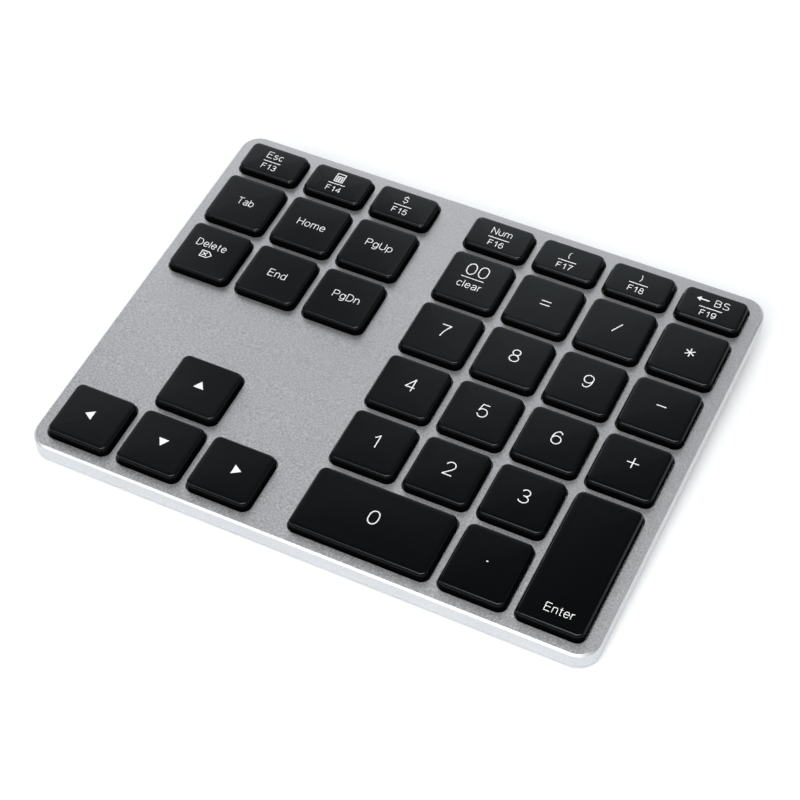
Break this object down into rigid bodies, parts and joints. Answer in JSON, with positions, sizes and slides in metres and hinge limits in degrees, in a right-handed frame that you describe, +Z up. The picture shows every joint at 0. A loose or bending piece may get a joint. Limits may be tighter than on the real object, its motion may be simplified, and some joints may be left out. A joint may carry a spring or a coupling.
{
  "type": "numeric keypad",
  "caption": "Slim free-standing numeric keypad: grey aluminium case on a rear hump, black scissor keys with a wide zero key, a tall enter key and an arrow cluster.",
  "frame": {"origin": "middle of the footprint, on the desk that the feet rest on", "axes": "+X to the right along the long side, +Y to the rear edge with the charging socket, +Z up"},
  "size_m": [0.147, 0.113, 0.0129],
  "materials": {
    "case_aluminium": "bead-blasted, grey anodised",
    "key_plastic": "satin black",
    "cover_plastic": "fine texture, black",
    "foot_rubber": "matt",
    "plate_steel": "zinc plated",
    "switch_film": "clear polyester with printed tracks",
    "dome_silicone": "translucent white",
    "lever_plastic": "natural white",
    "spring_steel": "drawn wire",
    "board_laminate": "green solder mask",
    "chip_epoxy": "moulded epoxy",
    "shield_steel": "tin plated",
    "connector_plastic": "moulded black",
    "light_pipe": "clear",
    "cell_foil": "pouch foil",
    "foam_tape": "foam",
    "lead_sleeve": "soft sleeve",
    "screw_steel": "blackened"
  },
  "bodies": {
    "case": {"battery_cell": "cell_foil", "battery_leads": "lead_sleeve", "battery_tape": "foam_tape", "board_chips": "chip_epoxy", "bottom_cover": "cover_plastic", "cover_screws": "screw_steel", "main_board": "board_laminate", "membrane": "switch_film", "membrane_connector": "connector_plastic", "pairing_switch": "connector_plastic", "plate_screws": "screw_steel", "power_switch_body": "connector_plastic", "radio_module": "shield_steel", "rubber_domes": "dome_silicone", "rubber_feet": "foot_rubber", "scissor_inner_levers": "lever_plastic", "scissor_outer_levers": "lever_plastic", "status_light_pipe": "light_pipe", "support_plate": "plate_steel", "top_case": "case_aluminium", "usb_port": "shield_steel"},
    "key_0": {"key_0": "key_plastic"},
    "key_1": {"key_1": "key_plastic"},
    "key_2": {"key_2": "key_plastic"},
    "key_3": {"key_3": "key_plastic"},
    "key_4": {"key_4": "key_plastic"},
    "key_5": {"key_5": "key_plastic"},
    "key_6": {"key_6": "key_plastic"},
    "key_7": {"key_7": "key_plastic"},
    "key_8": {"key_8": "key_plastic"},
    "key_9": {"key_9": "key_plastic"},
    "key_arrow_down": {"key_arrow_down": "key_plastic"},
    "key_arrow_left": {"key_arrow_left": "key_plastic"},
    "key_arrow_right": {"key_arrow_right": "key_plastic"},
    "key_arrow_up": {"key_arrow_up": "key_plastic"},
    "key_backspace": {"key_backspace": "key_plastic"},
    "key_calculator": {"key_calculator": "key_plastic"},
    "key_decimal": {"key_decimal": "key_plastic"},
    "key_delete": {"key_delete": "key_plastic"},
    "key_divide": {"key_divide": "key_plastic"},
    "key_dollar": {"key_dollar": "key_plastic"},
    "key_double_zero": {"key_double_zero": "key_plastic"},
    "key_end": {"key_end": "key_plastic"},
    "key_enter": {"key_enter": "key_plastic"},
    "key_equals": {"key_equals": "key_plastic"},
    "key_escape": {"key_escape": "key_plastic"},
    "key_home": {"key_home": "key_plastic"},
    "key_left_parenthesis": {"key_left_parenthesis": "key_plastic"},
    "key_minus": {"key_minus": "key_plastic"},
    "key_multiply": {"key_multiply": "key_plastic"},
    "key_num_lock": {"key_num_lock": "key_plastic"},
    "key_page_down": {"key_page_down": "key_plastic"},
    "key_page_up": {"key_page_up": "key_plastic"},
    "key_plus": {"key_plus": "key_plastic"},
    "key_right_parenthesis": {"key_right_parenthesis": "key_plastic"},
    "key_tab": {"key_tab": "key_plastic"},
    "zero_stabiliser_wire": {"zero_stabiliser_wire": "spring_steel"},
    "enter_stabiliser_wire": {"enter_stabiliser_wire": "spring_steel"},
    "power_switch_knob": {"power_switch_knob": "cover_plastic"},
    "pairing_button": {"pairing_button": "cover_plastic"}
  },
  "joints": [
    {"name": "press_key_0", "type": "slide", "parent": "case", "child": "key_0", "axis": [0, 0.0454, -0.999], "range_m": [0, 0.0017], "stiffness_N_per_m": 235, "springref_m": -0.00106, "deforming": ["rubber_domes", "scissor_outer_levers", "scissor_inner_levers"]},
    {"name": "press_key_1", "type": "slide", "parent": "case", "child": "key_1", "axis": [0, 0.0454, -0.999], "range_m": [0, 0.0017], "stiffness_N_per_m": 235, "springref_m": -0.00106, "deforming": ["rubber_domes", "scissor_outer_levers", "scissor_inner_levers"]},
    {"name": "press_key_2", "type": "slide", "parent": "case", "child": "key_2", "axis": [0, 0.0454, -0.999], "range_m": [0, 0.0017], "stiffness_N_per_m": 235, "springref_m": -0.00106, "deforming": ["rubber_domes", "scissor_outer_levers", "scissor_inner_levers"]},
    {"name": "press_key_3", "type": "slide", "parent": "case", "child": "key_3", "axis": [0, 0.0454, -0.999], "range_m": [0, 0.0017], "stiffness_N_per_m": 235, "springref_m": -0.00106, "deforming": ["rubber_domes", "scissor_outer_levers", "scissor_inner_levers"]},
    {"name": "press_key_4", "type": "slide", "parent": "case", "child": "key_4", "axis": [0, 0.0454, -0.999], "range_m": [0, 0.0017], "stiffness_N_per_m": 235, "springref_m": -0.00106, "deforming": ["rubber_domes", "scissor_outer_levers", "scissor_inner_levers"]},
    {"name": "press_key_5", "type": "slide", "parent": "case", "child": "key_5", "axis": [0, 0.0454, -0.999], "range_m": [0, 0.0017], "stiffness_N_per_m": 235, "springref_m": -0.00106, "deforming": ["rubber_domes", "scissor_outer_levers", "scissor_inner_levers"]},
    {"name": "press_key_6", "type": "slide", "parent": "case", "child": "key_6", "axis": [0, 0.0454, -0.999], "range_m": [0, 0.0017], "stiffness_N_per_m": 235, "springref_m": -0.00106, "deforming": ["rubber_domes", "scissor_outer_levers", "scissor_inner_levers"]},
    {"name": "press_key_7", "type": "slide", "parent": "case", "child": "key_7", "axis": [0, 0.0454, -0.999], "range_m": [0, 0.0017], "stiffness_N_per_m": 235, "springref_m": -0.00106, "deforming": ["rubber_domes", "scissor_outer_levers", "scissor_inner_levers"]},
    {"name": "press_key_8", "type": "slide", "parent": "case", "child": "key_8", "axis": [0, 0.0454, -0.999], "range_m": [0, 0.0017], "stiffness_N_per_m": 235, "springref_m": -0.00106, "deforming": ["rubber_domes", "scissor_outer_levers", "scissor_inner_levers"]},
    {"name": "press_key_9", "type": "slide", "parent": "case", "child": "key_9", "axis": [0, 0.0454, -0.999], "range_m": [0, 0.0017], "stiffness_N_per_m": 235, "springref_m": -0.00106, "deforming": ["rubber_domes", "scissor_outer_levers", "scissor_inner_levers"]},
    {"name": "press_key_arrow_down", "type": "slide", "parent": "case", "child": "key_arrow_down", "axis": [0, 0.0454, -0.999], "range_m": [0, 0.0017], "stiffness_N_per_m": 235, "springref_m": -0.00106, "deforming": ["rubber_domes", "scissor_outer_levers", "scissor_inner_levers"]},
    {"name": "press_key_arrow_left", "type": "slide", "parent": "case", "child": "key_arrow_left", "axis": [0, 0.0454, -0.999], "range_m": [0, 0.0017], "stiffness_N_per_m": 235, "springref_m": -0.00106, "deforming": ["rubber_domes", "scissor_outer_levers", "scissor_inner_levers"]},
    {"name": "press_key_arrow_right", "type": "slide", "parent": "case", "child": "key_arrow_right", "axis": [0, 0.0454, -0.999], "range_m": [0, 0.0017], "stiffness_N_per_m": 235, "springref_m": -0.00106, "deforming": ["rubber_domes", "scissor_outer_levers", "scissor_inner_levers"]},
    {"name": "press_key_arrow_up", "type": "slide", "parent": "case", "child": "key_arrow_up", "axis": [0, 0.0454, -0.999], "range_m": [0, 0.0017], "stiffness_N_per_m": 235, "springref_m": -0.00106, "deforming": ["rubber_domes", "scissor_outer_levers", "scissor_inner_levers"]},
    {"name": "press_key_backspace", "type": "slide", "parent": "case", "child": "key_backspace", "axis": [0, 0.0454, -0.999], "range_m": [0, 0.0017], "stiffness_N_per_m": 235, "springref_m": -0.00106, "deforming": ["rubber_domes", "scissor_outer_levers", "scissor_inner_levers"]},
    {"name": "press_key_calculator", "type": "slide", "parent": "case", "child": "key_calculator", "axis": [0, 0.0454, -0.999], "range_m": [0, 0.0017], "stiffness_N_per_m": 235, "springref_m": -0.00106, "deforming": ["rubber_domes", "scissor_outer_levers", "scissor_inner_levers"]},
    {"name": "press_key_decimal", "type": "slide", "parent": "case", "child": "key_decimal", "axis": [0, 0.0454, -0.999], "range_m": [0, 0.0017], "stiffness_N_per_m": 235, "springref_m": -0.00106, "deforming": ["rubber_domes", "scissor_outer_levers", "scissor_inner_levers"]},
    {"name": "press_key_delete", "type": "slide", "parent": "case", "child": "key_delete", "axis": [0, 0.0454, -0.999], "range_m": [0, 0.0017], "stiffness_N_per_m": 235, "springref_m": -0.00106, "deforming": ["rubber_domes", "scissor_outer_levers", "scissor_inner_levers"]},
    {"name": "press_key_divide", "type": "slide", "parent": "case", "child": "key_divide", "axis": [0, 0.0454, -0.999], "range_m": [0, 0.0017], "stiffness_N_per_m": 235, "springref_m": -0.00106, "deforming": ["rubber_domes", "scissor_outer_levers", "scissor_inner_levers"]},
    {"name": "press_key_dollar", "type": "slide", "parent": "case", "child": "key_dollar", "axis": [0, 0.0454, -0.999], "range_m": [0, 0.0017], "stiffness_N_per_m": 235, "springref_m": -0.00106, "deforming": ["rubber_domes", "scissor_outer_levers", "scissor_inner_levers"]},
    {"name": "press_key_double_zero", "type": "slide", "parent": "case", "child": "key_double_zero", "axis": [0, 0.0454, -0.999], "range_m": [0, 0.0017], "stiffness_N_per_m": 235, "springref_m": -0.00106, "deforming": ["rubber_domes", "scissor_outer_levers", "scissor_inner_levers"]},
    {"name": "press_key_end", "type": "slide", "parent": "case", "child": "key_end", "axis": [0, 0.0454, -0.999], "range_m": [0, 0.0017], "stiffness_N_per_m": 235, "springref_m": -0.00106, "deforming": ["rubber_domes", "scissor_outer_levers", "scissor_inner_levers"]},
    {"name": "press_key_enter", "type": "slide", "parent": "case", "child": "key_enter", "axis": [0, 0.0454, -0.999], "range_m": [0, 0.0017], "stiffness_N_per_m": 235, "springref_m": -0.00106, "deforming": ["rubber_domes", "scissor_outer_levers", "scissor_inner_levers"]},
    {"name": "press_key_equals", "type": "slide", "parent": "case", "child": "key_equals", "axis": [0, 0.0454, -0.999], "range_m": [0, 0.0017], "stiffness_N_per_m": 235, "springref_m": -0.00106, "deforming": ["rubber_domes", "scissor_outer_levers", "scissor_inner_levers"]},
    {"name": "press_key_escape", "type": "slide", "parent": "case", "child": "key_escape", "axis": [0, 0.0454, -0.999], "range_m": [0, 0.0017], "stiffness_N_per_m": 235, "springref_m": -0.00106, "deforming": ["rubber_domes", "scissor_outer_levers", "scissor_inner_levers"]},
    {"name": "press_key_home", "type": "slide", "parent": "case", "child": "key_home", "axis": [0, 0.0454, -0.999], "range_m": [0, 0.0017], "stiffness_N_per_m": 235, "springref_m": -0.00106, "deforming": ["rubber_domes", "scissor_outer_levers", "scissor_inner_levers"]},
    {"name": "press_key_left_parenthesis", "type": "slide", "parent": "case", "child": "key_left_parenthesis", "axis": [0, 0.0454, -0.999], "range_m": [0, 0.0017], "stiffness_N_per_m": 235, "springref_m": -0.00106, "deforming": ["rubber_domes", "scissor_outer_levers", "scissor_inner_levers"]},
    {"name": "press_key_minus", "type": "slide", "parent": "case", "child": "key_minus", "axis": [0, 0.0454, -0.999], "range_m": [0, 0.0017], "stiffness_N_per_m": 235, "springref_m": -0.00106, "deforming": ["rubber_domes", "scissor_outer_levers", "scissor_inner_levers"]},
    {"name": "press_key_multiply", "type": "slide", "parent": "case", "child": "key_multiply", "axis": [0, 0.0454, -0.999], "range_m": [0, 0.0017], "stiffness_N_per_m": 235, "springref_m": -0.00106, "deforming": ["rubber_domes", "scissor_outer_levers", "scissor_inner_levers"]},
    {"name": "press_key_num_lock", "type": "slide", "parent": "case", "child": "key_num_lock", "axis": [0, 0.0454, -0.999], "range_m": [0, 0.0017], "stiffness_N_per_m": 235, "springref_m": -0.00106, "deforming": ["rubber_domes", "scissor_outer_levers", "scissor_inner_levers"]},
    {"name": "press_key_page_down", "type": "slide", "parent": "case", "child": "key_page_down", "axis": [0, 0.0454, -0.999], "range_m": [0, 0.0017], "stiffness_N_per_m": 235, "springref_m": -0.00106, "deforming": ["rubber_domes", "scissor_outer_levers", "scissor_inner_levers"]},
    {"name": "press_key_page_up", "type": "slide", "parent": "case", "child": "key_page_up", "axis": [0, 0.0454, -0.999], "range_m": [0, 0.0017], "stiffness_N_per_m": 235, "springref_m": -0.00106, "deforming": ["rubber_domes", "scissor_outer_levers", "scissor_inner_levers"]},
    {"name": "press_key_plus", "type": "slide", "parent": "case", "child": "key_plus", "axis": [0, 0.0454, -0.999], "range_m": [0, 0.0017], "stiffness_N_per_m": 235, "springref_m": -0.00106, "deforming": ["rubber_domes", "scissor_outer_levers", "scissor_inner_levers"]},
    {"name": "press_key_right_parenthesis", "type": "slide", "parent": "case", "child": "key_right_parenthesis", "axis": [0, 0.0454, -0.999], "range_m": [0, 0.0017], "stiffness_N_per_m": 235, "springref_m": -0.00106, "deforming": ["rubber_domes", "scissor_outer_levers", "scissor_inner_levers"]},
    {"name": "press_key_tab", "type": "slide", "parent": "case", "child": "key_tab", "axis": [0, 0.0454, -0.999], "range_m": [0, 0.0017], "stiffness_N_per_m": 235, "springref_m": -0.00106, "deforming": ["rubber_domes", "scissor_outer_levers", "scissor_inner_levers"]},
    {"name": "swing_zero_stabiliser_wire", "type": "hinge", "parent": "case", "child": "zero_stabiliser_wire", "pos_m": [0.01353, -0.03772, 0.00437], "axis": [1, 0, 0], "range_deg": [0, 16]},
    {"name": "swing_enter_stabiliser_wire", "type": "hinge", "parent": "case", "child": "enter_stabiliser_wire", "pos_m": [0.0554, -0.03443, 0.00452], "axis": [0, 0.999, 0.0454], "range_deg": [0, 16]},
    {"name": "slide_power_switch", "type": "slide", "parent": "case", "child": "power_switch_knob", "axis": [1, 0, 0], "range_m": [0, 0.002]},
    {"name": "press_pairing_button", "type": "slide", "parent": "case", "child": "pairing_button", "axis": [0, -0.0454, 0.999], "range_m": [0, 0.0003], "stiffness_N_per_m": 500, "springref_m": -0.0006}
  ],
  "couplings": [
    {"joint": "swing_zero_stabiliser_wire", "follows": "press_key_0", "rad_per_m": 162.43},
    {"joint": "swing_enter_stabiliser_wire", "follows": "press_key_enter", "rad_per_m": 162.43}
  ]
}
